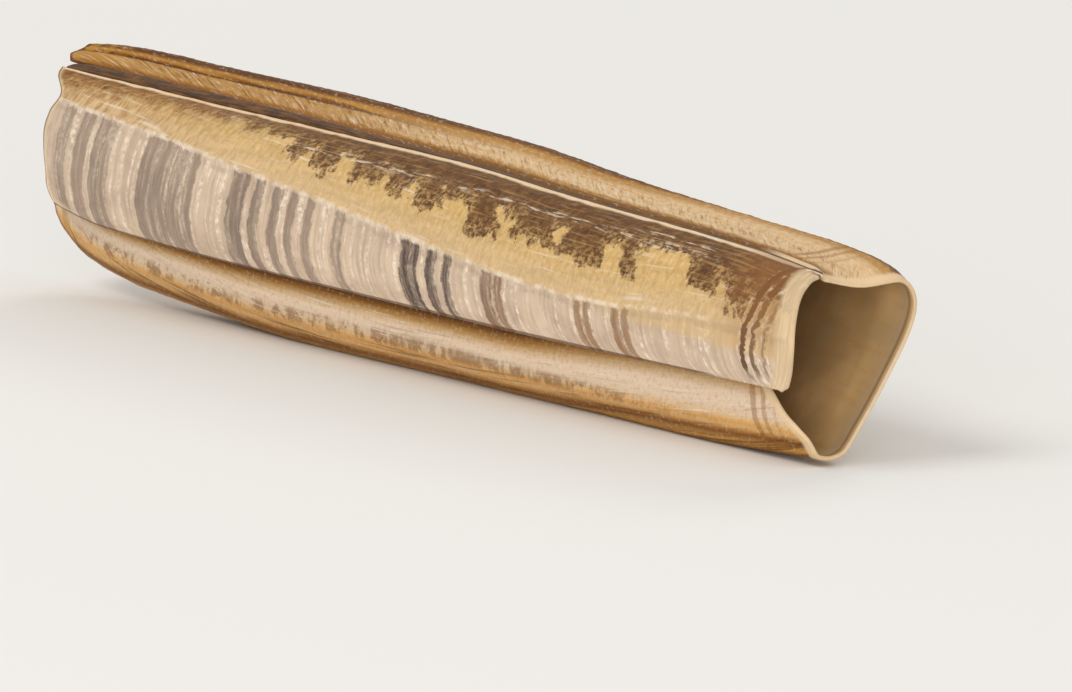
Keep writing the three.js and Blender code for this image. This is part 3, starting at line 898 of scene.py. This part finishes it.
def ligament_finish(colours):
    """Dark brown horn with fine lengthwise wrinkles, a little glossy where it is worn."""
    f = Finish("ligament horn")
    x, turn, _ = f.mark("lay")
    wrinkles = f.grain((x, 0.25), (turn, 3.2), detail=4, seed=51.0)
    flakes = f.grain((x, 1.6), (turn, 1.4), detail=4, rough=0.7, seed=52.0)
    colour = f.mix(f.rise(wrinkles, 0.4, 0.66), tone(colours.horn, 0.7), tone(colours.brown, 0.7))
    colour = f.lay(colour, f.rise(flakes, 0.58, 0.7), 0.45, colours.brown, 0.95)
    rough = f.scaled(flakes, 0.3, 0.3)
    normal = f.bump(f.maths("ADD", wrinkles, f.scaled(flakes, 0.5)), 0.12, 0.9)
    return f.finish(colour, rough, normal, specular_ior_level=0.25)


def floor_finish(colours):
    """A plain pale paper sweep with a very faint tooth."""
    f = Finish("studio paper")
    place = f.add("ShaderNodeTexCoord").outputs["Object"]
    tooth = f.add("ShaderNodeTexNoise", {"Vector": place, "Scale": 420.0, "Detail": 2.0}).outputs["Fac"]
    colour = f.mix(f.scaled(tooth, 0.25), tone(colours.paper), tone(colours.paper, 0.985))
    normal = f.bump(tooth, 0.02, 0.2)
    return f.finish(colour, 0.85, normal, specular_ior_level=0.15)


# ------------------------------------------------------------
# What a user would change
# ------------------------------------------------------------


def colour_setting(name, description, default):
    return FloatVectorProperty(
        name=name, description=description, default=default, size=3, min=0.0, max=1.0, subtype="COLOR"
    )


def length_setting(name, description, default, low, high):
    limits = {"min": low, "max": high, "precision": 5, "unit": "LENGTH"}
    return FloatProperty(name=name, description=description, default=default, **limits)


def cells_setting(name, where, default, low):
    return IntProperty(name=name, description="Mesh cells " + where, default=default, min=low)


def stage_setting(name, description, default, **limits):
    return FloatProperty(name=name, description=description, default=default, **limits)


class ShellSizes(PropertyGroup):
    wall_thickness: length_setting("Wall", "Thickness of a valve away from its edges", 0.0011, 0.0005, 0.002)
    rim_thickness: length_setting("Rim", "Thickness of a valve at its edges", 0.00045, 0.0002, 0.001)
    growth_height: length_setting("Growth ridges", "Height of the fine ridges", 0.00007, 0.0, 0.0003)
    ridge_height: length_setting("Diagonal ridge", "Height of the crossing ridge", 0.00022, 0.0, 0.0008)
    left_along: cells_setting("Left cells along", "along the left valve", 440, 60)
    left_around: cells_setting("Left cells down", "down the left valve", 100, 20)
    right_along: cells_setting("Right cells along", "along the right valve", 340, 60)
    right_around: cells_setting("Right cells round", "round the right valve", 132, 30)
    ligament_along: cells_setting("Ligament cells", "along the ligament", 500, 60)
    ligament_around: cells_setting("Ligament sides", "round the ligament", 28, 8)


class ShellColours(PropertyGroup):
    chalk: colour_setting("Bare shell", "Warm white of the bare shell", (0.63, 0.49, 0.36))
    chalk_line: colour_setting("Growth line", "Fine lines across the bare shell", (0.40, 0.29, 0.20))
    highlight: colour_setting("Pale fleck", "Flecks and dashes worn pale", (0.82, 0.70, 0.56))
    band_front: colour_setting("Front bands", "Growth bands towards the front end", (0.18, 0.125, 0.10))
    band_back: colour_setting("Back bands", "Growth bands towards the back end", (0.25, 0.118, 0.038))
    gold: colour_setting("Gold", "Golden slope above the diagonal ridge", (0.62, 0.41, 0.16))
    skin_front: colour_setting("Front skin", "Brown skin near the front end", (0.25, 0.105, 0.030))
    skin_back: colour_setting("Back skin", "Dark brown skin behind the front third", (0.105, 0.040, 0.012))
    lip: colour_setting("Lip", "Cream of the hinge lip and the rims", (0.84, 0.63, 0.39))
    tan: colour_setting("Tan", "Tan of the crown", (0.47, 0.255, 0.078))
    cream: colour_setting("Cream", "Cream of the crown's back half and of the lap", (0.65, 0.45, 0.245))
    ochre: colour_setting("Ochre", "Golden streaks along the crown and the keel", (0.46, 0.235, 0.045))
    # Brown and umber also serve as painted shade: by the hinge groove, along the crown's top outline, and,
    # after tan, under the left valve's margin on the lap.
    brown: colour_setting("Brown", "Brown streaks along the crown and the keel", (0.26, 0.105, 0.014))
    umber: colour_setting("Umber", "Darkest streaks along the crown and the keel", (0.10, 0.030, 0.002))
    inside: colour_setting("Inside", "Smooth inner face", (0.60, 0.40, 0.19))
    # Painted shade on the inner face near the hinge.
    roof_shade: colour_setting("Roof", "Inner face near the hinge", (0.14, 0.085, 0.045))
    horn: colour_setting("Horn", "Ligament", (0.075, 0.028, 0.007))
    paper: colour_setting("Paper", "Studio floor", (0.86, 0.855, 0.84))


class ShellStage(PropertyGroup):
    azimuth: stage_setting("Azimuth", "Camera direction round the shell", math.radians(56.84), subtype="ANGLE")
    elevation: stage_setting("Elevation", "Camera angle above the floor", math.radians(8.9), subtype="ANGLE")
    distance: length_setting("Distance", "Camera distance from the shell", 2.845, 0.5, 6.0)
    aim_height: length_setting("Aim height", "Height that the camera is set out from", 0.013, 0.0, 0.1)
    slide_right: length_setting("Slide right", "How far the camera is slid to its right", 0.00894, -0.1, 0.1)
    slide_up: length_setting("Slide up", "How far the camera is slid up", -0.01024, -0.1, 0.1)
    lens: stage_setting("Lens", "Focal length", 906.6, min=50.0, max=1100.0, subtype="DISTANCE_CAMERA")
    key_power: stage_setting("Key light", "Power of the large soft light", 8.5, unit="POWER")
    fill_power: stage_setting("Fill light", "Power of the weaker side light", 8.0, unit="POWER")
    rim_power: stage_setting("Back light", "Power of the light from behind", 3.0, unit="POWER")
    sky: stage_setting("Room light", "Strength of the even light of the room", 0.6, min=0.0)
    floor_span: length_setting("Floor", "Width of the floor", 9.0, 1.0, 20.0)


# ------------------------------------------------------------
# Operators
# ------------------------------------------------------------


def settle(piece, node, *materials):
    """Gives a piece its finishes, sets it in for its CAD node and lets it ride with the shell."""
    for material in materials:
        piece.data.materials.append(material)
    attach(piece, "root")
    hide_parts(node)


class SHELL_OT_left_valve(Operator):
    """Build the left valve, with its skin, ridge and growth bands"""

    bl_idname = "shell.left_valve"
    bl_label = "Left valve"

    def execute(self, context):
        scene = context.scene
        piece = left_valve_mesh(scene.shell_sizes)
        outside = left_finish(scene.shell_colours)
        inside = inside_finish(scene.shell_colours, "left valve inside", 0.3)
        settle(piece, "left_valve", outside, inside)
        return {"FINISHED"}


class SHELL_OT_right_valve(Operator):
    """Build the right valve, with its crown, far side, keel and lap"""

    bl_idname = "shell.right_valve"
    bl_label = "Right valve"

    def execute(self, context):
        scene = context.scene
        piece = right_valve_mesh(scene.shell_sizes)
        outside = right_finish(scene.shell_colours)
        inside = inside_finish(scene.shell_colours, "right valve inside", 0.24)
        settle(piece, "right_valve", outside, inside)
        return {"FINISHED"}


class SHELL_OT_ligament(Operator):
    """Build the strip of horn in the hinge groove"""

    bl_idname = "shell.ligament"
    bl_label = "Ligament"

    def execute(self, context):
        scene = context.scene
        piece = ligament_mesh(scene.shell_sizes)
        settle(piece, "ligament", ligament_finish(scene.shell_colours))
        return {"FINISHED"}


LIGHT_AIM = (0, 0, 0.01)
FLOOR_DROP = 0.00003  # how far the paper lies below the ground that the shell rests on


def soft_light(name, place, size, power, colour):
    light = bpy.data.lights.new(name, "AREA")
    light.shape = "DISK"
    light.size = size
    light.energy = power
    light.color = colour
    lamp = linked(name, light)
    lamp.location = place
    lamp.rotation_euler = (Vector(LIGHT_AIM) - Vector(place)).to_track_quat("-Z", "Y").to_euler()


class SHELL_OT_stage(Operator):
    """Set out the paper floor, the soft lights and the camera"""

    bl_idname = "shell.stage"
    bl_label = "Stage"

    def execute(self, context):
        scene = context.scene
        stage, colours = scene.shell_stage, scene.shell_colours
        half = stage.floor_span / 2
        corners = [(i * half, j * half, -FLOOR_DROP) for i, j in ((-1, -1), (1, -1), (1, 1), (-1, 1))]
        mesh = bpy.data.meshes.new("paper_floor")
        mesh.from_pydata(corners, [], [(0, 1, 2, 3)])
        mesh.materials.append(floor_finish(colours))
        floor = linked("paper_floor", mesh)

        world = bpy.data.worlds.new("room")
        world.use_nodes = True
        background = world.node_tree.nodes["Background"].inputs
        background["Color"].default_value = (1.0, 0.985, 0.96, 1.0)
        background["Strength"].default_value = stage.sky
        scene.world = world

        soft_light("key_light", (-0.25, -0.95, 1.25), 0.9, stage.key_power, (1.0, 0.97, 0.92))
        soft_light("fill_light", (1.1, -0.75, 0.22), 0.8, stage.fill_power, (1.0, 0.96, 0.9))
        soft_light("back_light", (-0.6, 1.0, 0.8), 0.6, stage.rim_power, (1.0, 0.98, 0.95))

        a, e = stage.azimuth, stage.elevation
        right = Vector((math.cos(a), math.sin(a), 0))
        back = Vector((math.sin(a) * math.cos(e), -math.cos(a) * math.cos(e), math.sin(e)))
        up = back.cross(right)
        camera_data = bpy.data.cameras.new("camera")
        camera_data.lens = stage.lens
        camera_data.clip_start = 0.1
        camera_data.clip_end = 20.0
        camera = linked("camera", camera_data)
        aim = Vector((0, 0, stage.aim_height))
        camera.matrix_world = Matrix.Translation(
            aim + back * stage.distance + right * stage.slide_right + up * stage.slide_up
        ) @ Matrix((right, up, back)).transposed().to_4x4()
        scene.camera = camera
        scene.view_settings.view_transform = "Standard"
        return {"FINISHED"}


class SHELL_PT_panel(Panel):
    """Lists the shell's pieces and its stage in the sidebar"""

    bl_idname = "SHELL_PT_panel"
    bl_label = "Razor Clam Shell"
    bl_space_type = "VIEW_3D"
    bl_region_type = "UI"
    bl_category = "Shell"

    def draw(self, context):
        for operator in OPERATORS:
            self.layout.operator(operator.bl_idname)
        for title, group in (("Sizes", "shell_sizes"), ("Colours", "shell_colours"), ("Stage", "shell_stage")):
            box = self.layout.box()
            box.label(text=title)
            settings = getattr(context.scene, group)
            for key in settings.__annotations__:
                box.prop(settings, key)


OPERATORS = (SHELL_OT_left_valve, SHELL_OT_right_valve, SHELL_OT_ligament, SHELL_OT_stage)
GROUPS = {"shell_sizes": ShellSizes, "shell_colours": ShellColours, "shell_stage": ShellStage}


def register():
    for cls in (*GROUPS.values(), *OPERATORS, SHELL_PT_panel):
        bpy.utils.register_class(cls)
    for name, group in GROUPS.items():
        setattr(bpy.types.Scene, name, PointerProperty(type=group))


def unregister():
    for name in GROUPS:
        delattr(bpy.types.Scene, name)
    for cls in reversed((*GROUPS.values(), *OPERATORS, SHELL_PT_panel)):
        bpy.utils.unregister_class(cls)


def main():
    register()
    bpy.ops.shell.stage()
    bpy.ops.shell.left_valve()
    bpy.ops.shell.right_valve()
    bpy.ops.shell.ligament()


if __name__ == "__main__":
    main()
